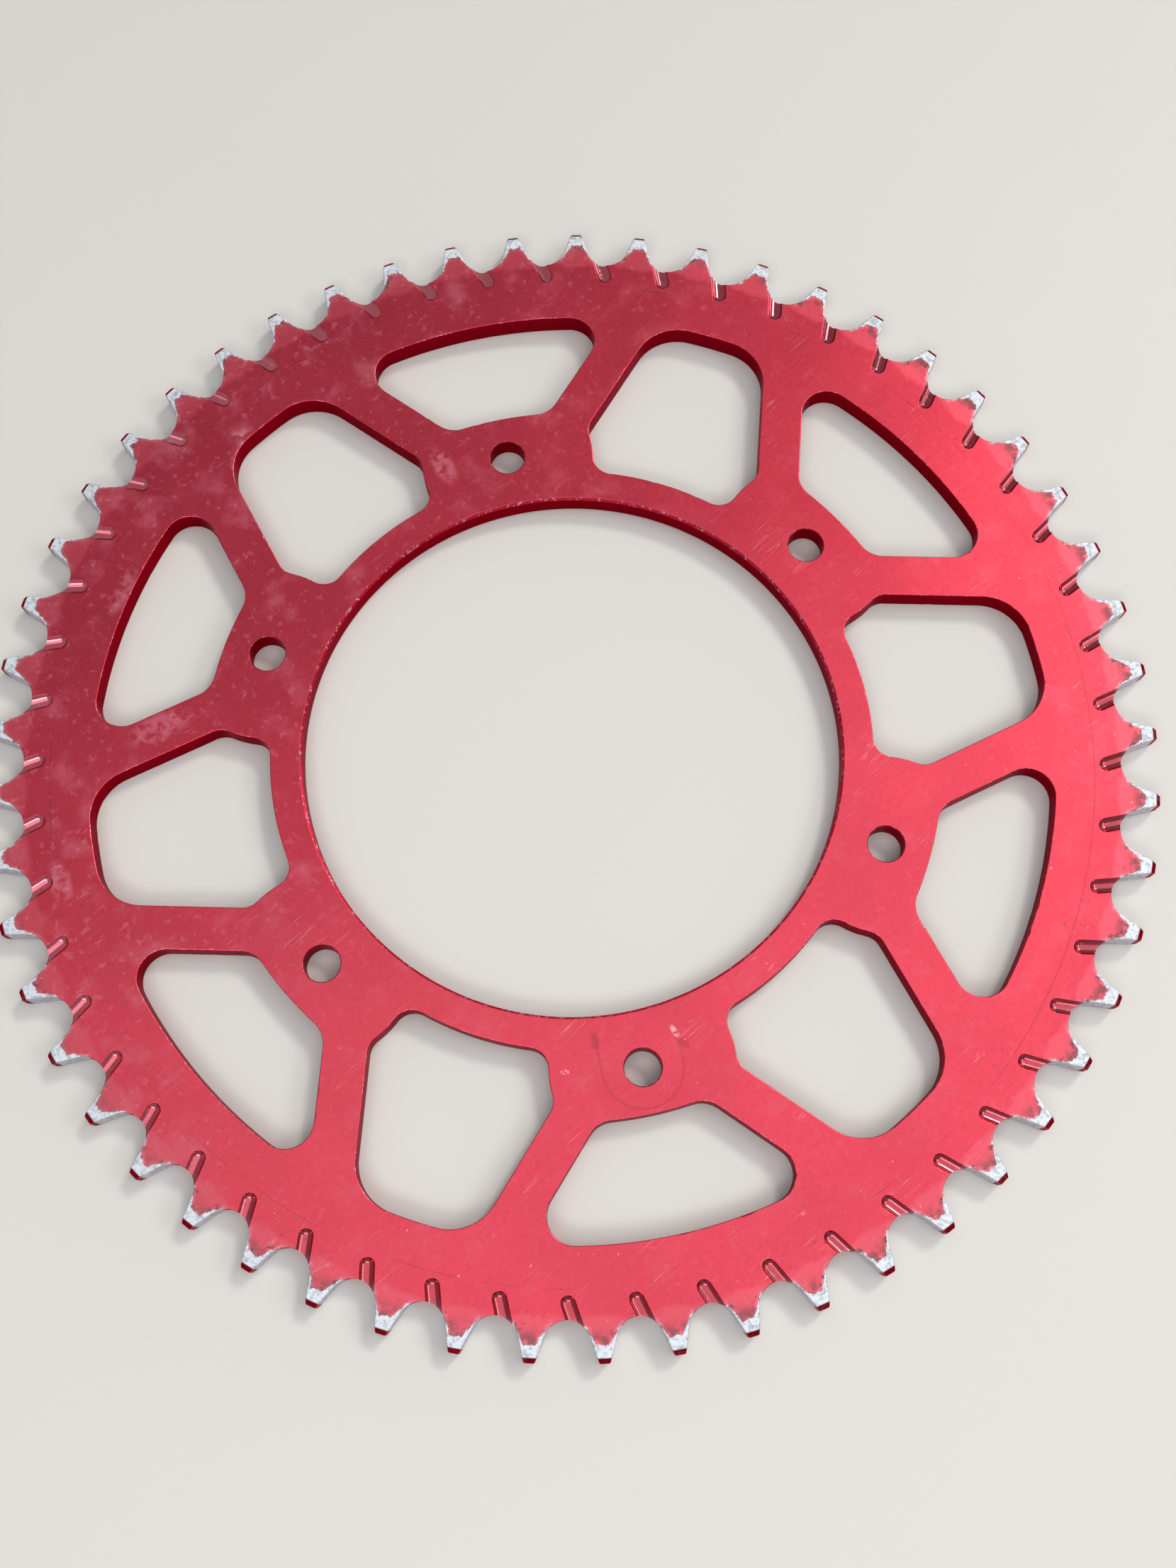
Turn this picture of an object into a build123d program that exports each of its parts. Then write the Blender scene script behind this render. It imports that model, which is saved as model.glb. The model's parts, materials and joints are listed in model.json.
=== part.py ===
"""Rear chain sprocket of an off-road motorcycle: one machined aluminium plate.

The sprocket lies flat. The origin is the centre of the bore on the hub face (the back),
and +Z is the wheel axis, towards the outer face with the mud grooves. +X runs through
one bolt hole and through the middle of a tooth. Millimetres and degrees.
"""

import os
from math import cos, hypot, pi, radians, sin, tan

from build123d import *

# Chain: 520 size, 5/8 inch pitch.
teeth = 53
chain_pitch = 15.875
roller_diameter = 10.16

# Teeth. Each roller seat is an arc about a point on the pitch circle, and straight flanks
# leave it as tangents. A bevel on both faces narrows the tips.
pitch_radius = chain_pitch / 2 / sin(pi / teeth)
seat_radius = 0.505 * roller_diameter
seat_half_angle = 69
tip_radius = 138.1
tip_corner_radius = 0.4
tip_bevel_length = 1.3
tip_bevel_depth = 1.2

# Plate. The edge break is on every edge of the outline and the windows.
plate_thickness = 6
edge_break = 0.2
bore_radius = 63.5
bore_chamfer = 0.55

# Bolt holes.
bolt_count = 6
bolt_circle_radius = 76.5
bolt_hole_radius = 4.25
bolt_hole_chamfer = 0.2

# Windows. Two straight spokes leave each bolt boss. A spoke's angle is to the radius
# through its bolt hole, and its offset is how far its centreline passes from the wheel
# axis. A boss window lies between the two spokes of one boss, outboard of the bolt hole,
# and a gap window between the bosses.
window_outer_radius = 113.45
boss_window_inner_radius = 87
gap_window_inner_radius = 71
spoke_angle = 43.5
spoke_offset = 45.2
spoke_width = 10.1
boss_radius = 21.15
boss_window_fillet = 6.35
gap_window_fillet = 4.8
gap_window_outer_fillet = 11.5

# Mud grooves: one for each roller seat, cut in the outer face by a ball-nosed cutter.
groove_ball_radius = 2
groove_depth = 0.95
groove_end_radius = 125.45
groove_end_offset = 0.15
groove_tilt = 20
groove_run = 8

tooth_angle = 360 / teeth
bolt_angle = 360 / bolt_count
mouth_radius = tip_radius + 1


def window_blank(inner_radius, point_x, base_x, side_angle):
    """A piece of the ring of windows, cut to a wedge about the X axis.

    The wedge runs from its point to its base, and its sides are at an angle to the axis.
    """
    half_base = abs(base_x - point_x) * tan(radians(side_angle))
    Circle(window_outer_radius)
    Circle(inner_radius, mode=Mode.SUBTRACT)
    Polygon(
        (point_x, 0),
        (base_x, -half_base),
        (base_x, half_base),
        align=None,
        mode=Mode.INTERSECT,
    )


# One roller gap, opening along +X, from its seat to past the tips.
with BuildSketch() as roller_gap:
    with BuildLine():
        seat = CenterArc((pitch_radius, 0), seat_radius, 180 - seat_half_angle, 2 * seat_half_angle)
        flank_end = seat @ 0
        mouth_half_width = flank_end.Y + (mouth_radius - flank_end.X) / tan(radians(seat_half_angle))
        Polyline(
            flank_end,
            (mouth_radius, mouth_half_width),
            (mouth_radius, -mouth_half_width),
            seat @ 1,
        )
    make_face()

with BuildSketch() as boss_window:
    wedge_point = (spoke_offset + spoke_width / 2) / sin(radians(spoke_angle))
    window_blank(boss_window_inner_radius, wedge_point, mouth_radius, spoke_angle)
    fillet(boss_window.vertices(), boss_window_fillet)

with BuildSketch() as gap_window:
    side_angle = spoke_angle - bolt_angle / 2
    wedge_point = (spoke_offset - spoke_width / 2) / sin(radians(side_angle))
    window_blank(gap_window_inner_radius, wedge_point, 0, side_angle)
    with PolarLocations(bolt_circle_radius, 2, -bolt_angle / 2, 2 * bolt_angle):
        Circle(boss_radius, mode=Mode.SUBTRACT)
    fillet(gap_window.vertices().sort_by(Axis.X)[:-2], gap_window_fillet)
    fillet(gap_window.vertices().sort_by(Axis.X)[-2:], gap_window_outer_fillet)

with BuildSketch() as outline:
    Circle(tip_radius)
    with PolarLocations(0, teeth, tooth_angle / 2):
        add(roller_gap.sketch, mode=Mode.SUBTRACT)
    tip_corners = outline.vertices().filter_by(lambda v: hypot(v.X, v.Y) > tip_radius - 0.01)
    fillet(tip_corners, tip_corner_radius)
    with PolarLocations(0, bolt_count):
        add(boss_window.sketch, mode=Mode.SUBTRACT)
    with PolarLocations(0, bolt_count, bolt_angle / 2):
        add(gap_window.sketch, mode=Mode.SUBTRACT)

# Half of the plate's section through the wheel axis, with the bore and the bevelled rim.
with BuildSketch(Plane.XZ) as turned_section:
    with BuildLine():
        Polyline(
            (bore_radius, bore_chamfer),
            (bore_radius + bore_chamfer, 0),
            (tip_radius - tip_bevel_length, 0),
            (tip_radius, tip_bevel_depth),
            (tip_radius, plate_thickness - tip_bevel_depth),
            (tip_radius - tip_bevel_length, plate_thickness),
            (bore_radius + bore_chamfer, plate_thickness),
            (bore_radius, plate_thickness - bore_chamfer),
            close=True,
        )
    make_face()

# The mud groove's cutter: a ball and a shank along the groove, with its middle above the face.
groove_direction = Vector(cos(radians(groove_tilt)), sin(radians(groove_tilt)))
groove_end = Vector(
    groove_end_radius,
    groove_end_offset,
    plate_thickness - groove_depth + groove_ball_radius,
)
with BuildPart(Plane(groove_end, z_dir=groove_direction)) as groove_cutter:
    Sphere(groove_ball_radius)
    Cylinder(groove_ball_radius, groove_run, align=(Align.CENTER, Align.CENTER, Align.MIN))

with BuildPart() as sprocket_plate:
    extrude(outline.sketch, plate_thickness)
    chamfer(sprocket_plate.faces().filter_by(Axis.Z).edges(), edge_break)
    revolve(turned_section.sketch, Axis.Z, mode=Mode.INTERSECT)
    with PolarLocations(bolt_circle_radius, bolt_count):
        Hole(bolt_hole_radius)
    hole_rims = sprocket_plate.edges().filter_by(
        lambda e: e.geom_type == GeomType.CIRCLE and abs(e.radius - bolt_hole_radius) < 0.01
    )
    chamfer(hole_rims, bolt_hole_chamfer)
    with PolarLocations(0, teeth, tooth_angle / 2):
        add(groove_cutter.part, mode=Mode.SUBTRACT)

sprocket_plate.part.label = "sprocket_plate"

os.makedirs("parts", exist_ok=True)
export_step(sprocket_plate.part, "parts/sprocket_plate.step")
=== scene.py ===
"""Looks for the rear sprocket: a used, red anodised plate lying on a plain pale floor.

The plate is built again as one fine mesh that stands for the CAD node: its arcs are smooth, its
edges are rounded, and the edges of the teeth are worn. Its shape is worked out in millimetres,
in the CAD model's frame. One material gives the anodising, its wear and its grime, with painted
shade on the walls and in the grooves and a painted highlight in the grooves.
"""

import json
from math import acos, ceil, cos, degrees, pi, radians, sin, sqrt

import bpy
import numpy as np
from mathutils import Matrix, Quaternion, Vector
from mathutils.geometry import delaunay_2d_cdt


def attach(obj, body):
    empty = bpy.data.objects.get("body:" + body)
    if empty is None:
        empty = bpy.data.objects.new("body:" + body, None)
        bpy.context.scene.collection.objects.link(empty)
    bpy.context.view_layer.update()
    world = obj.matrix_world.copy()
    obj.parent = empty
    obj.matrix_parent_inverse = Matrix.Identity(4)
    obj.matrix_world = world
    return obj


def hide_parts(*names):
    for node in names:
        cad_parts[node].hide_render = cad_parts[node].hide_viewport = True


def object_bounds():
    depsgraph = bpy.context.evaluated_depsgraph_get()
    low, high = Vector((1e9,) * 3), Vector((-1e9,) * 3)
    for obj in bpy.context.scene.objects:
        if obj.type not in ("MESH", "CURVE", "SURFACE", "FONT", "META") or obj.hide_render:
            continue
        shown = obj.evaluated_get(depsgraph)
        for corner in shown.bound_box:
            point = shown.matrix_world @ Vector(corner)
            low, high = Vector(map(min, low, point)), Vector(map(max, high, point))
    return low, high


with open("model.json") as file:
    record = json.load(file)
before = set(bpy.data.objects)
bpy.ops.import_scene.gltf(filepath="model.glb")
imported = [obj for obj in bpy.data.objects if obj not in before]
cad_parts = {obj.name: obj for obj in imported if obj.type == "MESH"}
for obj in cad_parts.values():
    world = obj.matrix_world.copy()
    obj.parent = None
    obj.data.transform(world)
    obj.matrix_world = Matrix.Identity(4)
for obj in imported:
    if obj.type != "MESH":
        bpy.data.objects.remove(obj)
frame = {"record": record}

NODE = "sprocket_plate"
CAD_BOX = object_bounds()
MM = 0.001
MOUNTS = {mount["name"]: mount for mount in frame["record"]["mounts"]}

# ---------------------------------------------------------------- sizes, in mm and degrees
THICKNESS = CAD_BOX[1].z / MM
TIP_RADIUS = CAD_BOX[1].x / MM
BORE_RADIUS = MOUNTS["bore"]["dims"]["r_mm"]
BORE_CHAMFER = (THICKNESS - MOUNTS["bore"]["dims"]["length_mm"]) / 2
BOLT_COUNT = MOUNTS["bolt_circle"]["dims"]["count"]
BOLT_CIRCLE_RADIUS = MOUNTS["bolt_circle"]["dims"]["pcd_mm"] / 2
BOLT_HOLE_RADIUS = MOUNTS["bolt_circle"]["dims"]["hole_r_mm"]
BOLT_HOLE_CHAMFER = 0.2

TEETH = 53
CHAIN_PITCH = 15.875
ROLLER_DIAMETER = 10.16
PITCH_RADIUS = CHAIN_PITCH / 2 / sin(pi / TEETH)
SEAT_RADIUS = 0.505 * ROLLER_DIAMETER
SEAT_HALF_ANGLE = 69
TIP_CORNER_RADIUS = 0.4
TIP_BEVEL_LENGTH = 1.3
TIP_BEVEL_DEPTH = 1.2
TIP_BEVEL_SLOPE = TIP_BEVEL_DEPTH / TIP_BEVEL_LENGTH
CREASE_RADIUS = TIP_RADIUS - TIP_BEVEL_LENGTH
EDGE_BREAK = 0.2

WINDOW_OUTER_RADIUS = 113.45
BOSS_WINDOW_INNER_RADIUS = 87
GAP_WINDOW_INNER_RADIUS = 71
SPOKE_ANGLE = 43.5
SPOKE_OFFSET = 45.2
SPOKE_WIDTH = 10.1
BOSS_RADIUS = 21.15
BOSS_WINDOW_FILLET = 6.35
GAP_WINDOW_FILLET = 4.8
GAP_WINDOW_OUTER_FILLET = 11.5

GROOVE_RADIUS = 2
GROOVE_DEPTH = 0.95
GROOVE_END = np.array([125.45, 0.15])
GROOVE_TILT = 20
GROOVE_RIM_RADIUS = 0.15

TOOTH_ANGLE = 360 / TEETH
BOLT_ANGLE = 360 / BOLT_COUNT

# The edges of the teeth are rounder where the chain has worn them: the radii between which the
# wear begins, those between which it ends, and about how much wider it makes the rounding.
WORN_FROM = (129.4, 131.5)
WORN_UP_TO = (134.5, CREASE_RADIUS - 0.4)
WORN_EXTRA = 0.2

# The windows' edges have nicks: the share of an outline's points, and how far they go in.
NICK_SHARE = 0.03
NICK_DEPTH = 0.25

# ---------------------------------------------------------------- mesh density, in mm and degrees
ARC_SAG = 0.004
LONGEST_STEP = 1.4
LARGEST_TURN = 15
ROUNDING_STEPS = 3
FILL_SPACING = 5
FILL_CLEARANCE = 1.8
WELD_GRID = 0.001

# What the triangulation keeps: only what lies within its loops.
WITHIN_LOOPS = 1

random = np.random.default_rng(16)


# ---------------------------------------------------------------- outlines
def unit(angle):
    return np.array([cos(radians(angle)), sin(radians(angle))])


def turned(vectors, angle):
    """Points or directions turned about the wheel axis. Any third value is kept."""
    c, s = unit(angle)
    out = np.array(vectors, float)
    out[..., 0] = c * vectors[..., 0] - s * vectors[..., 1]
    out[..., 1] = s * vectors[..., 0] + c * vectors[..., 1]
    return out


class Line:
    """A straight edge. The void is on its left."""

    def __init__(self, point, angle):
        self.point = np.array(point, float)
        self.into_void = unit(angle + 90)

    def depth(self, p):
        return (p - self.point) @ self.into_void

    def slope(self, p):
        return self.into_void

    def samples(self, start, end):
        """Points from start to end, and the directions into the metal there."""
        steps = ceil(np.linalg.norm(end - start) / LONGEST_STEP)
        shares = np.linspace(0, 1, steps + 1)[:, None]
        return start + shares * (end - start), np.repeat([-self.into_void], steps + 1, axis=0)


class Arc:
    """A round edge. The void is inside its circle, or outside where the circle is solid."""

    def __init__(self, centre, radius, solid=False):
        self.centre = np.array(centre, float)
        self.radius = radius
        self.side = -1 if solid else 1

    def depth(self, p):
        return self.side * (self.radius - np.linalg.norm(p - self.centre))

    def slope(self, p):
        return -self.side * (p - self.centre) / np.linalg.norm(p - self.centre)

    def samples(self, start, end):
        """Points from start to end, with the void on the left, and the directions into the metal."""
        first = np.arctan2(start[1] - self.centre[1], start[0] - self.centre[0])
        last = np.arctan2(end[1] - self.centre[1], end[0] - self.centre[0])
        sweep = self.side * ((self.side * (last - first)) % (2 * pi))
        flat_enough = 2 * acos(1 - ARC_SAG / self.radius)
        step = min(radians(LARGEST_TURN), flat_enough, LONGEST_STEP / self.radius)
        angles = first + np.linspace(0, 1, ceil(abs(sweep) / step) + 1) * sweep
        outward = np.stack([np.cos(angles), np.sin(angles)], axis=1)
        return self.centre + self.radius * outward, self.side * outward


def meet(a, b, depth, guess):
    """The point that is this deep in the void from both edges, found from a guess."""
    p = np.array(guess, float)
    for _ in range(30):
        slopes = np.array([a.slope(p), b.slope(p)])
        p = p + np.linalg.solve(slopes, [depth - a.depth(p), depth - b.depth(p)])
    return p


def foot(edge, p):
    """The point of an edge that is nearest to p."""
    return p - edge.depth(p) * edge.slope(p)


def joined(pieces):
    """Runs of (points, directions) that follow each other, as one run. Each leaves out its last sample."""
    return tuple(np.concatenate([piece[i][:-1] for piece in pieces]) for i in (0, 1))


def window(edges, corners):
    """A closed outline round a void, anticlockwise.

    corners holds, for the corner after each edge, its fillet radius and a rough place for the
    fillet's centre.
    """
    fillets = []
    for i, (radius, guess) in enumerate(corners):
        following = edges[(i + 1) % len(edges)]
        centre = meet(edges[i], following, radius, guess)
        fillets.append((Arc(centre, radius), foot(edges[i], centre), foot(following, centre)))
    pieces = []
    for i, edge in enumerate(edges):
        fillet, start, end = fillets[i]
        pieces += [edge.samples(fillets[i - 1][2], start), fillet.samples(start, end)]
    return joined(pieces)


def with_mirrored(corners):
    """Corners above the X axis, followed by the same ones below it, in the order round the void."""
    return corners + [(radius, (x, -y)) for radius, (x, y) in reversed(corners)]


def boss_window():
    apex = ((SPOKE_OFFSET + SPOKE_WIDTH / 2) / sin(radians(SPOKE_ANGLE)), 0)
    edges = [
        Arc((0, 0), WINDOW_OUTER_RADIUS),
        Line(apex, 180 + SPOKE_ANGLE),
        Arc((0, 0), BOSS_WINDOW_INNER_RADIUS, solid=True),
        Line(apex, -SPOKE_ANGLE),
    ]
    corners = [(BOSS_WINDOW_FILLET, (105, 21)), (BOSS_WINDOW_FILLET, (93, 10))]
    return window(edges, with_mirrored(corners))


def gap_window():
    side_angle = SPOKE_ANGLE - BOLT_ANGLE / 2
    apex = ((SPOKE_OFFSET - SPOKE_WIDTH / 2) / sin(radians(side_angle)), 0)
    boss = BOLT_CIRCLE_RADIUS * unit(BOLT_ANGLE / 2)
    edges = [
        Arc((0, 0), WINDOW_OUTER_RADIUS),
        Line(apex, 180 - side_angle),
        Arc(boss, BOSS_RADIUS, solid=True),
        Arc((0, 0), GAP_WINDOW_INNER_RADIUS, solid=True),
        Arc(boss * (1, -1), BOSS_RADIUS, solid=True),
        Line(apex, side_angle),
    ]
    corners = [
        (GAP_WINDOW_OUTER_FILLET, (101, 5)),
        (GAP_WINDOW_FILLET, (81, 16)),
        (GAP_WINDOW_FILLET, (75, 13)),
    ]
    return window(edges, with_mirrored(corners))


def round_hole(centre, radius):
    centre = np.array(centre, float)
    right = centre + (radius, 0)
    left = centre - (radius, 0)
    arc = Arc(centre, radius)
    return joined([arc.samples(right, left), arc.samples(left, right)])


# ---------------------------------------------------------------- tooth spaces and mud grooves
# A tooth space is worked out with its middle on the X axis. The outline goes clockwise round the
# plate, with the void on its left: from +Y to -Y here, across the groove's mouth on the way.
SEAT = Arc((PITCH_RADIUS, 0), SEAT_RADIUS)
TIP = Arc((0, 0), TIP_RADIUS, solid=True)
ALONG = unit(GROOVE_TILT)
ACROSS = unit(GROOVE_TILT + 90)


def rounding(width):
    """A rounded edge from the wall to the face: how far in, how far down, and the normal's tilt."""
    tilts = np.linspace(0, pi / 2, ROUNDING_STEPS + 1)
    return width * (1 - np.cos(tilts)), width * (1 - np.sin(tilts)), tilts


def bevel(size, softness=0.1):
    """A 45 degree bevel from the wall to the face with softened ends, given as a rounding is."""
    reach = softness * sin(pi / 8) / cos(pi / 8)
    tilts = np.array([0, pi / 8, pi / 4])
    inset = softness * (1 - np.cos(tilts))
    drop = size + reach - softness * np.sin(tilts)
    return (
        np.concatenate([inset, drop[::-1]]),
        np.concatenate([drop, inset[::-1]]),
        np.concatenate([tilts, pi / 2 - tilts[::-1]]),
    )


def tooth_side(start_angle):
    """Outline from an angle on the seat, along the flank on the -Y side, to the middle of the tip."""
    lean = 90 - SEAT_HALF_ANGLE
    seat_end = SEAT.centre + SEAT_RADIUS * unit(180 + SEAT_HALF_ANGLE)
    flank = Line(seat_end, -lean)
    along = unit(-lean)
    broken = seat_end - EDGE_BREAK * flank.into_void
    ahead = broken @ along
    to_crease = -ahead + sqrt(ahead**2 - broken @ broken + CREASE_RADIUS**2)
    crease = seat_end + to_crease * along
    corner_centre = meet(flank, TIP, -TIP_CORNER_RADIUS, (137.5, -7.4))
    corner = Arc(corner_centre, TIP_CORNER_RADIUS, solid=True)
    flank_end, tip_start = foot(flank, corner_centre), foot(TIP, corner_centre)
    tip_middle = TIP_RADIUS * unit(-TOOTH_ANGLE / 2)
    halfway = seat_end + to_crease / 2 * along
    return [
        SEAT.samples(SEAT.centre + SEAT_RADIUS * unit(start_angle), seat_end),
        flank.samples(seat_end, halfway),
        flank.samples(halfway, crease),
        flank.samples(crease, flank_end),
        corner.samples(flank_end, tip_start),
        TIP.samples(tip_start, tip_middle),
    ]


class Groove:
    """The mud groove of the tooth space on the X axis: a round-bottomed slot with a ball end.

    Its columns run along it. They go across from one rim to the other, and the outer ones are at
    the heights of the edge break's rings, so that the two meet at the groove's mouth.
    """

    def __init__(self):
        insets, drops, _ = rounding(EDGE_BREAK)
        axis_height = THICKNESS - GROOVE_DEPTH + GROOVE_RADIUS
        rim_height = THICKNESS - GROOVE_RIM_RADIUS
        rim_offset = sqrt((GROOVE_RADIUS + GROOVE_RIM_RADIUS) ** 2 - (axis_height - rim_height) ** 2)
        share = GROOVE_RADIUS / (GROOVE_RADIUS + GROOVE_RIM_RADIUS)
        rim_end = axis_height + (rim_height - axis_height) * share
        lowest_ring = (axis_height - THICKNESS + EDGE_BREAK) / GROOVE_RADIUS
        floor_angles = np.linspace(acos(lowest_ring), 0, 7)[1:]
        floor_heights = axis_height - GROOVE_RADIUS * np.cos(floor_angles)
        heights = np.concatenate([THICKNESS - drops[::-1], floor_heights])
        columns = []
        for height in heights:
            if height > rim_end:
                rise = (height - rim_height) / GROOVE_RIM_RADIUS
                run = sqrt(max(0, 1 - rise**2))
                columns.append((rim_offset - GROOVE_RIM_RADIUS * run, height, -run, rise))
            else:
                rise = (axis_height - height) / GROOVE_RADIUS
                run = sqrt(max(0, 1 - rise**2))
                columns.append((GROOVE_RADIUS * run, height, -run, rise))
        half = np.array(columns)
        self.half_inset = np.concatenate([insets[::-1], np.zeros(len(floor_angles))])
        self.half = half
        self.columns = np.concatenate([half, half[-2::-1] * (-1, 1, -1, 1)])
        self.inset = np.concatenate([self.half_inset, self.half_inset[-2::-1]])

    def reach(self):
        """How far out from the ball's centre each column ends, on the seat or its edge break."""
        base = GROOVE_END + self.columns[:, :1] * ACROSS - SEAT.centre
        ahead = base @ ALONG
        return -ahead - np.sqrt(ahead**2 - (base**2).sum(axis=1) + (SEAT_RADIUS + self.inset) ** 2)

    def trough(self, rows=3):
        """Grids of points and normals from the mouth to the ball's centre."""
        out = np.linspace(1, 0, rows + 1)[:, None] * self.reach()
        sideways, height, lean, rise = self.columns.T
        flat = GROOVE_END + out[..., None] * ALONG + sideways[:, None] * ACROSS
        normal = lean[:, None] * ACROSS + np.zeros_like(flat)
        return spatial(flat, height), spatial(normal, rise)

    def ball(self, rows=12):
        """Grids of points and normals round the ball end, from one side of the groove to the other."""
        angles = np.linspace(0, pi, rows + 1)[:, None]
        ways = np.cos(angles) * ACROSS - np.sin(angles) * ALONG
        sideways, height, lean, rise = self.half.T
        flat = GROOVE_END + sideways[:, None] * ways[:, None]
        return spatial(flat, height), spatial(lean[:, None] * ways[:, None], rise)


def between_ends(grid):
    """1 for each point of a grid but those in its first and last rows, as one list."""
    inner = np.ones(grid.shape[:2])
    inner[[0, -1]] = 0
    return inner.reshape(-1)


def spatial(flat, third):
    """Points or directions in the plane with their third value added."""
    return np.concatenate([flat, np.broadcast_to(third, flat.shape[:-1])[..., None]], axis=-1)


# ---------------------------------------------------------------- the plate's skin
def face_height(points):
    """The height of the outer face, which falls away as a cone towards the tips."""
    radius = np.linalg.norm(points[..., :2], axis=-1)
    return THICKNESS - TIP_BEVEL_SLOPE * np.maximum(0, radius - CREASE_RADIUS)


def face_normal(points, tilted):
    """The outer face's normals, of the cone where tilted is true."""
    radial = points[..., :2] / np.linalg.norm(points[..., :2], axis=-1)[..., None]
    cone = spatial(radial * TIP_BEVEL_SLOPE, 1) / sqrt(1 + TIP_BEVEL_SLOPE**2)
    return np.where(np.asarray(tilted)[..., None], cone, (0, 0, 1))


class Skin:
    """Patches of surface with exact normals, welded into one closed mesh at the end."""

    def __init__(self):
        self.points, self.normals, self.edges, self.faces, self.count = [], [], [], [], 0

    def add(self, points, normals, faces, below=False, edge=0):
        """Adds faces, as rows of places in a list of points. With below, they go on the hub face.

        edge is how far each point is on a rounded or bevelled edge, from 0 to 1.
        """
        points, normals = points.reshape(-1, 3).copy(), normals.reshape(-1, 3).copy()
        if below:
            points[:, 2] = THICKNESS - points[:, 2]
            normals[:, 2] *= -1
        corners = points[faces]
        facing = np.cross(corners[:, 2] - corners[:, 0], corners[:, -1] - corners[:, 1])
        wrong = (facing * normals[faces].sum(axis=1)).sum(axis=1) < 0
        faces[wrong] = faces[wrong, ::-1]
        self.faces += (faces + self.count).tolist()
        self.points.append(points)
        self.normals.append(normals)
        self.edges.append(np.zeros(len(points)) + edge)
        self.count += len(points)

    def grid(self, points, normals, closed=False, below=False, edge=0):
        """Adds quads between the rows and columns of a grid of points."""
        places = np.arange(points.shape[0] * points.shape[1]).reshape(points.shape[:2])
        if closed:
            places = np.concatenate([places, places[:, :1]], axis=1)
        a, b = places[:-1, :-1], places[:-1, 1:]
        c, d = places[1:, 1:], places[1:, :-1]
        faces = np.stack([a, b, c, d], axis=-1).reshape(-1, 4)
        self.add(points, np.broadcast_to(normals, points.shape), faces, below, edge)

    def edge(self, outline, inward, profile, closed=True, below=False):
        """Adds a rounded or bevelled edge along an outline, and returns its innermost points.

        The profile is as rounding() gives it, with one row for each of its steps and one column
        for each point of the outline, or one column for all.
        """
        insets, drops, tilts = (np.reshape(p, (len(p), -1)) for p in profile)
        flat = outline + insets[..., None] * inward
        tilted = np.linalg.norm(outline, axis=1) > CREASE_RADIUS
        up = face_normal(outline, tilted)
        normals = np.sin(tilts)[..., None] * up - np.cos(tilts)[..., None] * spatial(inward, 0)
        self.grid(spatial(flat, face_height(flat) - drops), normals, closed, below, between_ends(flat))
        return flat[-1]

    def wall(self, outline, inward, top, bottom):
        """Adds the upright wall of a closed outline."""
        points = np.stack([spatial(outline, top), spatial(outline, bottom)])
        self.grid(points, -spatial(inward, 0), closed=True)

    def face(self, loops, filling=None, cone=False, below=False):
        """Adds the face between loops of points. The filling is points inside it."""
        edges, first = [], 0
        for loop in loops:
            ring = np.arange(first, first + len(loop))
            edges += zip(ring.tolist(), np.roll(ring, -1).tolist())
            first += len(loop)
        flat = np.concatenate(loops if filling is None else [*loops, filling])
        result = delaunay_2d_cdt([Vector(p) for p in flat], edges, [], WITHIN_LOOPS, 1e-6, True)
        if len(result[0]) != len(flat):
            raise RuntimeError("the outlines of a face cross or touch")
        place = np.array([origin[0] for origin in result[3]])
        triangles = place[np.array(result[2])]
        triangles = triangles[enclosed(flat[triangles].mean(axis=1), loops)]
        surface = spatial(flat, face_height(flat))
        self.add(surface, face_normal(surface, np.full(len(flat), cone)), triangles, below)

    def mesh(self, name):
        points, normals = np.concatenate(self.points), np.concatenate(self.normals)
        edges = np.concatenate(self.edges)
        keys = np.round(points / WELD_GRID).astype(np.int64)
        _, kept, place = np.unique(keys, axis=0, return_index=True, return_inverse=True)
        place = place.reshape(-1).tolist()
        faces, corners = [], []
        for face in self.faces:
            used = [i for n, i in enumerate(face) if place[i] != place[face[n - 1]]]
            if len(used) > 2:
                faces.append([place[i] for i in used])
                corners += used
        mesh = bpy.data.meshes.new(name)
        mesh.from_pydata(points[kept] * MM, [], faces)
        mesh.polygons.foreach_set("use_smooth", [True] * len(faces))
        mesh.attributes.new("edge", "FLOAT", "POINT").data.foreach_set("value", edges[kept])
        mesh.normals_split_custom_set(normals[corners])
        return mesh


def enclosed(spots, loops):
    """Which spots lie inside an odd number of loops."""
    starts = np.concatenate(loops)
    ends = np.concatenate([np.roll(loop, -1, axis=0) for loop in loops])
    inside = []
    for x, y in spots:
        crossing = (starts[:, 1] > y) != (ends[:, 1] > y)
        a, b = starts[crossing], ends[crossing]
        at = a[:, 0] + (y - a[:, 1]) / (b[:, 1] - a[:, 1]) * (b[:, 0] - a[:, 0])
        inside.append(np.count_nonzero(at > x) % 2 == 1)
    return np.array(inside)


def fill_points(loops):
    """Points over the plate's face, well away from its edges, that keep its triangles compact."""
    rim = np.concatenate(loops)
    steps = np.arange(-TIP_RADIUS, TIP_RADIUS, FILL_SPACING)
    x, y = np.meshgrid(steps, steps * sqrt(3) / 2)
    x[::2] += FILL_SPACING / 2
    spots = np.stack([x, y], axis=-1).reshape(-1, 2)
    radius = np.linalg.norm(spots, axis=1)
    spots = spots[(radius > BORE_RADIUS) & (radius < PITCH_RADIUS)]
    clear = [np.linalg.norm(rim - spot, axis=1).min() > FILL_CLEARANCE for spot in spots]
    return spots[enclosed(spots, loops) & clear]


def waviness(count, smoothing=2):
    """Random values about 0 to 1 along a closed outline, with no sudden steps."""
    values = random.random(count)
    for _ in range(smoothing):
        values = (np.roll(values, 1) + 2 * values + np.roll(values, -1)) / 4
    return values


def smoothstep(low, high, values):
    share = np.clip((values - low) / (high - low), 0, 1)
    return share * share * (3 - 2 * share)


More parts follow.
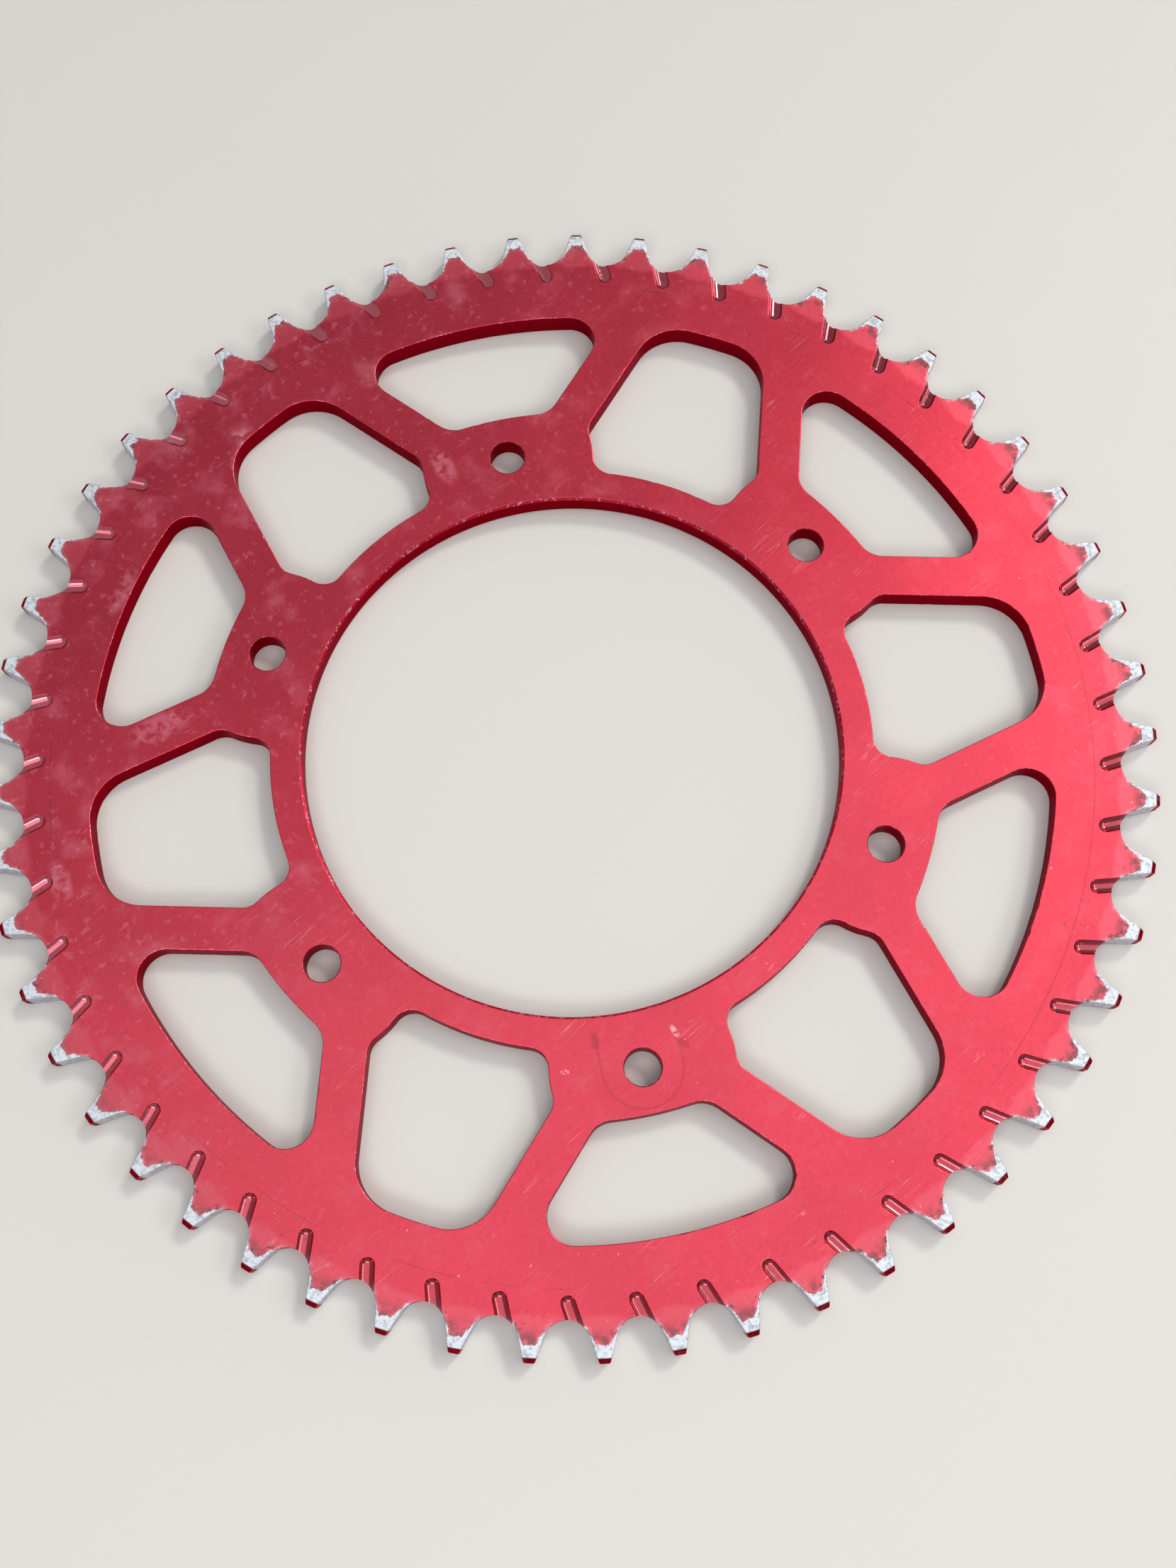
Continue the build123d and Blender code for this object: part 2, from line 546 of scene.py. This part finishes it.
def add_window(skin, outline, inward):
    """A window's wall and edges. Its edge break wanders a little and has a few nicks."""
    nicks = np.where(random.random(len(outline)) < NICK_SHARE, NICK_DEPTH, 0)
    width = EDGE_BREAK * (0.8 + 0.4 * waviness(len(outline))) + nicks
    return add_hole(skin, outline, inward, wide_rounding(width))


def wide_rounding(width):
    """rounding() for a width that changes along an outline."""
    insets, drops, tilts = rounding(1)
    return insets[:, None] * width, drops[:, None] * width, tilts


def add_hole(skin, outline, inward, profile):
    inner = skin.edge(outline, inward, profile)
    skin.edge(outline, inward, profile, below=True)
    drop = np.broadcast_to(profile[1][0], len(outline))
    skin.wall(outline, inward, THICKNESS - drop, drop)
    return inner


def tooth_run(mouth):
    """The outline from a groove's mouth over one tooth to the next mouth, and the directions inward."""
    seat_angles = [degrees(np.arctan2(*(p[:2] - SEAT.centre)[::-1])) % 360 for p in (mouth[0], mouth[-1])]
    after = [part[1:] for part in joined(tooth_side(seat_angles[1]))]
    before = [part[:0:-1] * (1, -1) for part in joined(tooth_side(360 - seat_angles[0]))]
    tip_middle = TIP_RADIUS * unit(-TOOTH_ANGLE / 2)
    points = np.concatenate([after[0], [tip_middle], turned(before[0], -TOOTH_ANGLE)])
    inward = np.concatenate([after[1], [-tip_middle / TIP_RADIUS], turned(before[1], -TOOTH_ANGLE)])
    return points, inward


def add_rim(skin):
    """The teeth and their grooves. Returns the loops round the outer face and the hub face."""
    groove = Groove()
    trough, trough_normals = groove.trough()
    ball, ball_normals = groove.ball()
    steps = ROUNDING_STEPS
    mouth = trough[0, steps:-steps]
    run_points, run_inward = tooth_run(mouth)
    radius = np.linalg.norm(run_points, axis=1)
    worn = smoothstep(*WORN_FROM, radius) * (1 - smoothstep(*WORN_UP_TO, radius))
    mouth_inward = (mouth[:, :2] - SEAT.centre) / SEAT_RADIUS
    tilts = rounding(EDGE_BREAK)[2]

    outline, inward, top, width, top_loop = [], [], [], [], []
    unevenness = waviness(TEETH * len(run_points)).reshape(TEETH, -1)
    for i in range(TEETH):
        angle = TOOTH_ANGLE * (0.5 - i)
        skin.grid(turned(trough, angle), turned(trough_normals, angle))
        skin.grid(turned(ball, angle), turned(ball_normals, angle))
        points, into = turned(run_points, angle), turned(run_inward, angle)
        run_width = EDGE_BREAK + WORN_EXTRA * worn * (0.2 + 1.6 * unevenness[i])
        run_insets, run_drops, _ = wide_rounding(run_width)
        flat = points + run_insets[..., None] * into
        ring = spatial(flat, face_height(flat) - run_drops)
        start = turned(trough[0, ::-1][:steps + 1][::-1], angle)[:, None]
        end = turned(trough[0, :steps + 1][::-1], angle - TOOTH_ANGLE)[:, None]
        rows = np.concatenate([start, ring, end], axis=1)
        start_in = turned((trough[0, -1, :2] - SEAT.centre) / SEAT_RADIUS, angle)[None]
        end_in = turned((trough[0, 0, :2] - SEAT.centre) / SEAT_RADIUS, angle - TOOTH_ANGLE)[None]
        all_in = np.concatenate([start_in, into, end_in])
        up = face_normal(rows[0], np.linalg.norm(rows[0, :, :2], axis=1) > CREASE_RADIUS)
        normals = np.sin(tilts)[:, None, None] * up - np.cos(tilts)[:, None, None] * spatial(all_in, 0)
        skin.grid(rows, normals, edge=between_ends(rows))

        slot = np.concatenate([trough[:, 0, :2], ball[1:, 0, :2], trough[-2::-1, -1, :2]])
        top_loop += [turned(slot, angle), flat[-1]]
        outline += [turned(mouth[:, :2], angle), points]
        inward += [turned(mouth_inward, angle), into]
        top += [mouth[:, 2], ring[0, :, 2]]
        width += [np.full(len(mouth), EDGE_BREAK), run_width]

    outline, inward, top, width = (np.concatenate(a) for a in (outline, inward, top, width))
    bottom_loop = skin.edge(outline, inward, wide_rounding(width), below=True)
    skin.wall(outline, inward, top, THICKNESS - face_height(outline) + width)
    return np.concatenate(top_loop), bottom_loop


def cut_tips(loop):
    """A face's outer loop with the tooth tips cut off along the creases, and a loop round each tip."""
    creased = np.flatnonzero(abs(np.linalg.norm(loop, axis=1) - CREASE_RADIUS) < WELD_GRID)
    inner, tips, last = [], [], 0
    for start, end in creased.reshape(-1, 2):
        crease = Arc((0, 0), CREASE_RADIUS, solid=True).samples(loop[start], loop[end])[0][1:-1]
        inner += [loop[last:start + 1], crease]
        tips.append(np.concatenate([loop[start:end + 1], crease[::-1]]))
        last = end
    return np.concatenate([*inner, loop[last:]]), tips


def make_plate():
    skin = Skin()
    rim_loops = add_rim(skin)
    loops = []
    for i in range(BOLT_COUNT):
        for shape, angle in ((boss_window(), i * BOLT_ANGLE), (gap_window(), (i + 0.5) * BOLT_ANGLE)):
            loops.append(add_window(skin, *(turned(part, angle) for part in shape)))
        hole = round_hole(BOLT_CIRCLE_RADIUS * unit(i * BOLT_ANGLE), BOLT_HOLE_RADIUS)
        loops.append(add_hole(skin, *hole, bevel(BOLT_HOLE_CHAMFER, softness=0.06)))
    loops.append(add_hole(skin, *round_hole((0, 0), BORE_RADIUS), bevel(BORE_CHAMFER)))
    for rim_loop, below in zip(rim_loops, (False, True)):
        outer, tips = cut_tips(rim_loop)
        filling = fill_points([outer, *loops])
        skin.face([outer, *loops], filling, below=below)
        for tip in tips:
            skin.face([tip], cone=True, below=below)
    plate = bpy.data.objects.new("plate", skin.mesh("plate"))
    bpy.context.scene.collection.objects.link(plate)
    return plate


# ---------------------------------------------------------------- shader nodes as formulas
class Field:
    """A number that varies over the surface, worked out by shader nodes. It takes arithmetic."""

    nodes = None

    def __init__(self, socket):
        self.socket = socket

    def __add__(self, other):
        return worked_out("ADD", self, other)

    def __sub__(self, other):
        return worked_out("SUBTRACT", self, other)

    def __rsub__(self, other):
        return worked_out("SUBTRACT", other, self)

    def __mul__(self, other):
        return worked_out("MULTIPLY", self, other)

    def __truediv__(self, other):
        return worked_out("DIVIDE", self, other)

    __radd__ = __add__
    __rmul__ = __mul__


def new_node(kind, inputs, **settings):
    """A shader node with its settings, and its inputs as numbers, colours, sockets or Fields."""
    node = Field.nodes.new(kind)
    for name, value in settings.items():
        setattr(node, name, value)
    for key, value in inputs.items():
        source = value.socket if isinstance(value, Field) else value
        if isinstance(source, bpy.types.NodeSocket):
            node.id_data.links.new(source, node.inputs[key])
        else:
            node.inputs[key].default_value = source
    return node


def worked_out(operation, *values):
    return Field(new_node("ShaderNodeMath", dict(enumerate(values)), operation=operation).outputs[0])


def lower(a, b):
    return worked_out("MINIMUM", a, b)


def higher(a, b):
    return worked_out("MAXIMUM", a, b)


def length(a, b):
    return worked_out("SQRT", a * a + b * b)


def ramp(value, start, end):
    """0 where the value is at start, 1 where it is at end, and a smooth change between them."""
    inputs = {"Value": value, "From Min": start, "From Max": end}
    return Field(new_node("ShaderNodeMapRange", inputs, interpolation_type="SMOOTHSTEP").outputs[0])


def noise(place, size, detail=2, stretch=(1, 1, 1), turn=0, shift=0):
    """Noise with blotches of about this size in mm, from 0 to 1 and about 0.5 on average.

    shift picks another stretch of the noise, so that no two patterns agree.
    """
    inputs = {
        "Vector": place,
        "Location": (shift, shift, shift),
        "Rotation": (0, 0, radians(turn)),
        "Scale": [1 / (size * factor) for factor in stretch],
    }
    moved = new_node("ShaderNodeMapping", inputs).outputs[0]
    return Field(new_node("ShaderNodeTexNoise", {"Vector": moved, "Scale": 1, "Detail": detail}).outputs[0])


def blend(under, over, amount):
    """One colour over another."""
    inputs = {"Fac": amount, "Color1": under, "Color2": over}
    return new_node("ShaderNodeMixRGB", inputs).outputs[0]


def material(name):
    """A new material with only an output. Returns it and its output's surface socket."""
    new = bpy.data.materials.new(name)
    new.use_nodes = True
    Field.nodes = new.node_tree.nodes
    Field.nodes.clear()
    return new, new_node("ShaderNodeOutputMaterial", {}).inputs["Surface"]


# ---------------------------------------------------------------- the plate's finish
RED = (0.58, 0.024, 0.054, 1)
DARK_RED = (0.46, 0.013, 0.036, 1)
LIGHT_RED = (0.66, 0.045, 0.085, 1)
# Painted shade: a darker red for the walls and one side of the grooves, also used for the dark marks.
WALL_SHADE_AND_DARK_MARK_RED = (0.26, 0.006, 0.014, 1)
WORN_RED = (0.62, 0.16, 0.2, 1)
SCRATCH_RED = (0.8, 0.28, 0.32, 1)
# Painted highlight: a pale pink for the grooves on the lit side.
PAINTED_GROOVE_HIGHLIGHT = (0.74, 0.16, 0.21, 1)
BARE_METAL = (0.68, 0.73, 0.78, 1)
DULL_METAL = (0.38, 0.41, 0.44, 1)
GRIME = (0.035, 0.025, 0.025, 1)
HAZE = (0.62, 0.36, 0.45, 1)

# Radii in mm. A pair is where something that the chain has done begins and where it is complete.
WEAR_RADIUS = 134.2
SEAT_WEAR_RADIUS = 130.3
SLIDE_RADIUS = 128.9
RUB_RADIUS = 122.5
PULLED_FLANK = (130.4, 133)
WIDER_WEAR = (131.5, 135)
SMEARED = (130.2, 133.4)
GRIMY = (129, 131)
SPECKLED = (116, 122)

# The directions in which the haze and the rub line get stronger. Along the first, the grooves'
# painted highlight grows and their painted shade fades.
HAZY_AND_GROOVE_LIT_SIDE = (-0.35, 0.94)
RUBBED_SIDE = (0.64, -0.77)

# The scratches' directions, the marked bolt hole's place and its mark's radius.
SCRATCH_ANGLES = (12, 58, 103, 146)
TAB_HOLE_ANGLE = 240
TAB_RADIUS = 9.2

# How many chatter marks would fit round the bore.
CHATTER_MARKS = 420

# The largest smudges on the outer face: place, heading, half length and half width.
SMUDGES = [
    ((-54, 102), -154, 7.5, 2.4),
    ((-8, 113), -150, 8, 2.2),
    ((-69, 69), -16, 9, 4),
    ((-109, 55), -110, 6, 3),
    ((25, 75), -101, 6, 3),
]


class Spot:
    """Where a point of the plate's surface is and how it lies, as Fields, in mm and radians."""

    def __init__(self):
        coordinates = new_node("ShaderNodeTexCoord", {})
        metres = {0: coordinates.outputs["Object"], 3: 1 / MM}
        self.place = new_node("ShaderNodeVectorMath", metres, operation="SCALE").outputs[0]
        split = new_node("ShaderNodeSeparateXYZ", {0: self.place}).outputs
        self.x, self.y, self.z = (Field(socket) for socket in split)
        self.radius = length(self.x, self.y)
        self.angle = worked_out("ARCTAN2", self.y, self.x)
        facing = new_node("ShaderNodeSeparateXYZ", {0: coordinates.outputs["Normal"]})
        self.flat = ramp(worked_out("ABSOLUTE", Field(facing.outputs["Z"])), 0.76, 0.92)
        self.edge = Field(new_node("ShaderNodeAttribute", {}, attribute_name="edge").outputs["Fac"])
        self.inside_crease = ramp(self.radius, CREASE_RADIUS + 0.25, CREASE_RADIUS - 0.05)
        # The side where the haze is stronger, and where the grooves get painted highlight instead of
        # painted shade.
        self.hazy_and_groove_lit_side = ramp(self.along(HAZY_AND_GROOVE_LIT_SIDE), -20, 110)
        self.find_tooth_space()

    def along(self, way):
        return self.x * way[0] + self.y * way[1]

    def find_tooth_space(self):
        """Turns each tooth space onto the X axis, and measures from its seat and its mud groove."""
        share = worked_out("FRACT", self.angle * (TEETH / (2 * pi)) + TEETH) - 0.5
        turn = share * (2 * pi / TEETH)
        seat_x = self.radius * worked_out("COSINE", turn) - PITCH_RADIUS
        seat_y = self.radius * worked_out("SINE", turn)
        beside = worked_out("ABSOLUTE", seat_y)
        c, s = unit(SEAT_HALF_ANGLE)
        past_seat = worked_out("GREATER_THAN", seat_x * s + beside * c, 0)
        from_seat = length(seat_x, seat_y) - SEAT_RADIUS
        from_flank = beside * s - seat_x * c - SEAT_RADIUS
        groove_x = seat_x + (PITCH_RADIUS - GROOVE_END[0])
        groove_y = seat_y - GROOVE_END[1]
        outward = groove_x * ALONG[0] + groove_y * ALONG[1]
        off_groove = length(groove_x * ACROSS[0] + groove_y * ACROSS[1], lower(outward, 0))
        under_face = ramp(self.z, THICKNESS - 0.02, THICKNESS - 0.08)
        above_floor = ramp(self.z, THICKNESS - 1.4, THICKNESS - 1.1)
        self.aside, self.beside = seat_y, beside
        self.from_edge = from_seat + past_seat * (from_flank - from_seat)
        self.groove = ramp(off_groove, 1.8, 1.7) * under_face * above_floor
        # The faces and grooves keep the face red; the walls get painted shade instead.
        self.face_or_groove = higher(self.flat, self.groove)


def mark(spot, centre, heading, half_length, half_width):
    """1 inside a soft-edged oval mark on the faces, and 0 outside."""
    c, s = unit(heading)
    across_x, across_y = spot.x - centre[0], spot.y - centre[1]
    ahead = (across_x * c + across_y * s) / half_length
    aside = (across_y * c - across_x * s) / half_width
    return ramp(length(ahead, aside), 1.1, 0.5)


def chain_wear(spot):
    """Wear by the chain, which has taken the dye off the flanks and the ends of the teeth.

    Returns the wear, how bare the metal is, and how thin the dye is.
    """
    ragged = noise(spot.place, 1.5, 3) + noise(spot.place, 0.5, 2) * 0.5 - 0.75
    pull = ramp(spot.aside, 1, -1) * ramp(spot.radius, *PULLED_FLANK)
    worn_width = 0.25 + ramp(spot.radius, *WIDER_WEAR) * 0.7 + pull * 0.35
    on_flank = lower((worn_width - spot.from_edge) * 1.4, spot.radius - SEAT_WEAR_RADIUS)
    wear = higher(spot.radius - WEAR_RADIUS, on_flank) + ragged * 1.9
    bare = ramp(wear, -0.12, 0.16) * spot.inside_crease
    thin = ramp(wear, -1.6, 0.1) * spot.inside_crease
    chips = ramp(noise(spot.place, 0.9, 3, shift=5), 0.56, 0.66)
    flecks = spot.edge * chips * ramp(spot.radius, 129, 127)
    return wear, higher(bare, flecks * 0.35), thin


def slid_over_teeth(spot):
    """Where the chain's plates have slid over the sides of the teeth and paled the dye."""
    reach = spot.radius + spot.beside * 0.15 + noise(spot.place, 2.5, 3, shift=9) * 2 - 1
    return ramp(reach, SLIDE_RADIUS - 0.7, SLIDE_RADIUS + 0.9) * spot.flat


def scratch_lines(spot):
    """Fine straight scratches, in patches of several directions."""
    scratches = 0
    for number, heading in enumerate(SCRATCH_ANGLES):
        lines = noise(spot.place, 1, 1, (45, 1.6, 45), heading, shift=3 * number)
        kept = ramp(noise(spot.place, 11, 2, shift=11 + number), 0.6, 0.74)
        line = ramp(worked_out("ABSOLUTE", lines - 0.5), 0.01, 0.002)
        scratches = line * kept + scratches
    return lower(scratches, 1) * spot.flat


def dull_haze(spot):
    """A cloudy film, stronger on one side of the plate, and the largest smudges."""
    haze = ramp(noise(spot.place, 8, 6, shift=21), 0.5, 0.78) * 0.5
    haze = haze + ramp(noise(spot.place, 1.8, 4, shift=31), 0.58, 0.7) * 0.4
    haze = haze * (0.2 + spot.hazy_and_groove_lit_side * 0.8)
    outer_face = ramp(spot.z, THICKNESS - 0.5, THICKNESS - 0.3)
    for centre, heading, half_length, half_width in SMUDGES:
        smudge = mark(spot, centre, heading, half_length, half_width) * outer_face
        haze = haze + smudge * ramp(noise(spot.place, 1.8, 5, shift=centre[0]), 0.35, 0.6) * 0.6
    return lower(haze, 1.2) * spot.flat


def rub_line(spot):
    """A thin dark circle that something has rubbed below the grooves."""
    line = ramp(worked_out("ABSOLUTE", spot.radius - RUB_RADIUS), 0.25, 0.05)
    patches = ramp(noise(spot.place, 9, 3, shift=41), 0.45, 0.65)
    return line * higher(patches, ramp(spot.along(RUBBED_SIDE), 100, 115)) * spot.flat


def tab_marks(spot):
    """Marks round one bolt hole: the outline a washer's tab has left, white scuffs, and dark smudges."""
    out_x, out_y = unit(TAB_HOLE_ANGLE)
    hole = BOLT_CIRCLE_RADIUS * unit(TAB_HOLE_ANGLE)
    outward = (spot.x - hole[0]) * out_x + (spot.y - hole[1]) * out_y
    sideways = (spot.y - hole[1]) * out_x - (spot.x - hole[0]) * out_y
    off_outline = length(sideways, higher(outward, 0)) - TAB_RADIUS
    outline = ramp(worked_out("ABSOLUTE", off_outline), 0.4, 0.1) * ramp(outward, -9, -5)
    patchy = noise(spot.place, 1.2, 3, shift=17)
    scuffs = higher(
        mark(spot, hole + (10.7, 1.1), -99, 1.8, 0.8),
        mark(spot, hole + (-13.7, 10.9), -45, 1.1, 0.6),
    )
    smudges = higher(
        mark(spot, hole + (-4.1, 11.5), 60, 2.6, 1.2),
        mark(spot, hole + (10.3, -2.0), -80, 2.2, 1.0),
    )
    return outline, scuffs * ramp(patchy, 0.35, 0.5), smudges * ramp(patchy, 0.3, 0.6)


def chain_grime(spot, wear, bare):
    """Grease and dirt, which gather beside the bare metal and in the grooves."""
    blotches = ramp(noise(spot.place, 1.1, 4, shift=51), 0.5, 0.6)
    dirt = blotches * ramp(noise(spot.place, 6, 2, shift=61), 0.46, 0.58)
    dirt = dirt * ramp(wear, -2.2, -0.7) * ramp(bare, 0.5, 0.1) * ramp(spot.radius, *GRIMY)
    smear = ramp(noise(spot.place, 1.7, 3, shift=55), 0.32, 0.6) * ramp(bare, 0.6, 0.1)
    smear = smear * ramp(spot.radius, *SMEARED) * (0.75 - spot.hazy_and_groove_lit_side * 0.4) * spot.flat
    dirt = higher(dirt, smear * ramp(spot.radius, CREASE_RADIUS, CREASE_RADIUS - 0.5))
    specks = ramp(noise(spot.place, 1.3, 3, shift=57), 0.68, 0.72)
    specks = specks * ramp(noise(spot.place, 20, 2, shift=59), 0.45, 0.6)
    dirt = higher(dirt, specks * ramp(spot.radius, *SPECKLED) * 0.6)
    return higher(dirt, spot.groove * ramp(noise(spot.place, 1.6, 3, shift=71), 0.6, 0.7) * 0.5)


def dye(spot, grain):
    """The red of the faces, walls and grooves where nothing has marked it, with painted shade on the
    walls and the grooves' dark side, and a painted highlight on the grooves' lit side.
    """
    cloud = noise(spot.place, 28, 3, shift=91)
    mottle = noise(spot.place, 1.5, 4, shift=93)
    red = blend(RED, DARK_RED, ramp(cloud, 0.35, 0.65) * 0.5)
    red = blend(red, DARK_RED, ramp(mottle, 0.45, 0.65) * 0.35)
    red = blend(red, LIGHT_RED, ramp(grain, 0.45, 0.8) * 0.5)
    # Painted shade: the walls are darker than the faces and their rounded edges.
    red = blend(WALL_SHADE_AND_DARK_MARK_RED, red, higher(spot.face_or_groove, spot.edge))
    # Painted shade: the grooves darker towards one side of the plate.
    red = blend(red, WALL_SHADE_AND_DARK_MARK_RED, spot.groove * (0.6 - spot.hazy_and_groove_lit_side * 0.6))
    # Painted highlight: the grooves pale pink towards the other side.
    return blend(red, PAINTED_GROOVE_HIGHLIGHT, spot.groove * (0.1 + spot.hazy_and_groove_lit_side * 0.75))


def cutter_marks(spot):
    """Relief in mm: lines down the milled walls, and chatter marks round the bore's chamfer."""
    milling = noise(spot.place, 0.5, 1, (1, 1, 30), shift=23) * (1 - spot.flat)
    chamfer = ramp(spot.radius, BORE_RADIUS + BORE_CHAMFER + 0.1, BORE_RADIUS + 0.3)
    chatter = worked_out("SINE", spot.angle * CHATTER_MARKS) * chamfer
    chatter = chatter * ramp(noise(spot.place, 22, 1, shift=7), 0.45, 0.6)
    return milling * 0.012 + chatter * 0.004


def anodised_plate():
    """Red dye in the metal's oxide skin, worn to bare aluminium on the teeth."""
    plate_finish, surface = material("anodised plate")
    spot = Spot()
    grain = noise(spot.place, 0.35, 2, shift=81)
    wear, bare, thin = chain_wear(spot)
    slid = slid_over_teeth(spot)
    scratches = scratch_lines(spot)
    haze = dull_haze(spot)
    stamped, scuffed, smudged = tab_marks(spot)
    scuffed = higher(scuffed, ramp(noise(spot.place, 0.9, 1, shift=77), 0.79, 0.83) * spot.flat)
    dark_marks = higher(higher(stamped * 0.35, smudged * 0.6), rub_line(spot) * 0.5)
    dirt = chain_grime(spot, wear, bare)

    # The red from dye() holds painted shade on the walls and grooves and a painted highlight in the
    # grooves.
    red = blend(dye(spot, grain), HAZE, haze * 0.4)
    red = blend(red, WORN_RED, higher(thin * 0.75, slid * 0.2))
    red = blend(red, SCRATCH_RED, higher(scratches * 0.32, scuffed))
    red = blend(red, WALL_SHADE_AND_DARK_MARK_RED, dark_marks)
    metal = blend(BARE_METAL, DULL_METAL, ramp(noise(spot.place, 0.8, 3, shift=13), 0.42, 0.7) * 0.8)
    colour = blend(blend(red, metal, bare), GRIME, dirt * 0.85)

    rough = 0.3 + grain * 0.06 + haze * 0.14 + slid * 0.08 + bare * 0.3
    rough = rough * (1 - spot.groove * 0.75) + dirt * 0.3
    relief = grain * 0.0035 - bare * 0.03 + dirt * 0.02 - scratches * 0.004 + cutter_marks(spot)
    bumped = new_node("ShaderNodeBump", {"Height": relief, "Distance": MM}).outputs[0]
    shader = new_node(
        "ShaderNodeBsdfPrincipled",
        {
            "Base Color": colour,
            "Metallic": 1 - higher(dirt * 0.9, haze * 0.25),
            "Roughness": rough,
            "Normal": bumped,
            "Specular Tint": (0.8, 0.4, 0.45, 1),
            "Coat Weight": spot.face_or_groove * (1 - bare) * 0.85,
            "Coat Roughness": 0.25,
            "Coat IOR": 1.5,
        },
    )
    surface.id_data.links.new(shader.outputs[0], surface)
    return plate_finish


def floor_paint():
    """A plain pale board, faintly uneven in gloss."""
    paint, surface = material("pale floor")
    place = new_node("ShaderNodeTexCoord", {}).outputs["Object"]
    unevenness = new_node("ShaderNodeTexNoise", {"Vector": place, "Scale": 40, "Detail": 4}).outputs[0]
    shader = new_node(
        "ShaderNodeBsdfPrincipled",
        {"Base Color": (0.56, 0.545, 0.52, 1), "Roughness": 0.5 + 0.1 * Field(unevenness)},
    )
    surface.id_data.links.new(shader.outputs[0], surface)
    return paint


# ---------------------------------------------------------------- the studio
def toward(azimuth, elevation):
    """The direction that is this far round from +X, and this far above the floor."""
    across = cos(radians(elevation))
    return Vector((*(across * unit(azimuth)), sin(radians(elevation))))


def soft_light(name, azimuth, elevation, distance, size, power, colour=(1, 1, 1)):
    lamp = bpy.data.lights.new(name, "AREA")
    lamp.shape = "RECTANGLE"
    lamp.size, lamp.size_y = size
    lamp.energy = power
    lamp.color = colour
    light = bpy.data.objects.new(name, lamp)
    light.location = distance * toward(azimuth, elevation)
    light.rotation_mode = "QUATERNION"
    light.rotation_quaternion = light.location.to_track_quat("Z", "Y")
    bpy.context.scene.collection.objects.link(light)


def sun_light(name, azimuth, elevation, spread, strength, colour):
    lamp = bpy.data.lights.new(name, "SUN")
    lamp.angle = radians(spread)
    lamp.energy = strength
    lamp.color = colour
    light = bpy.data.objects.new(name, lamp)
    light.rotation_mode = "QUATERNION"
    light.rotation_quaternion = toward(azimuth, elevation).to_track_quat("Z", "Y")
    bpy.context.scene.collection.objects.link(light)


def add_floor(radius=12):
    board = bpy.data.meshes.new("floor")
    rim = [(*(radius * unit(angle)), 0) for angle in range(0, 360, 5)]
    board.from_pydata(rim, [], [range(len(rim))])
    board.materials.append(floor_paint())
    floor = bpy.data.objects.new("floor", board)
    floor.location.z = CAD_BOX[0].z - 0.0002
    bpy.context.scene.collection.objects.link(floor)


def add_surroundings(colour, strength):
    world = bpy.data.worlds.new("studio")
    world.use_nodes = True
    background = world.node_tree.nodes["Background"]
    background.inputs["Color"].default_value = (*colour, 1)
    background.inputs["Strength"].default_value = strength
    bpy.context.scene.world = world


def add_camera(target, azimuth, elevation, roll, distance, lens):
    camera = bpy.data.objects.new("camera", bpy.data.cameras.new("camera"))
    camera.data.sensor_width = 36
    camera.data.lens = lens
    camera.data.clip_start, camera.data.clip_end = 0.01, 20
    back = toward(azimuth, elevation)
    camera.location = MM * Vector(target) + MM * distance * back
    camera.rotation_mode = "QUATERNION"
    camera.rotation_quaternion = back.to_track_quat("Z", "Y") @ Quaternion((0, 0, 1), radians(roll))
    bpy.context.scene.collection.objects.link(camera)
    bpy.context.scene.camera = camera


plate = make_plate()
plate.data.materials.append(anodised_plate())
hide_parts(NODE)
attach(plate, "root")

add_floor()
add_surroundings((0.94, 0.97, 1), 0.42)
soft_light("overhead softbox", -105, 80, 1.5, (2.3, 1.38), 10.4, (1, 0.99, 1))
sun_light("key light", 5, 47, 12, 1.2, (1, 0.95, 0.88))
soft_light("left strip", -140, 50, 1.3, (0.9, 0.3), 4)
soft_light("right strip", -45, 42, 1.3, (0.9, 0.3), 4)
soft_light("low panel", -5, 11, 4, (2, 0.9), 16)
add_camera((-3.24, -9.22, 6), -131.56, 74.23, -0.61, 408.9, 40.16)
bpy.context.scene.view_settings.view_transform = "Standard"
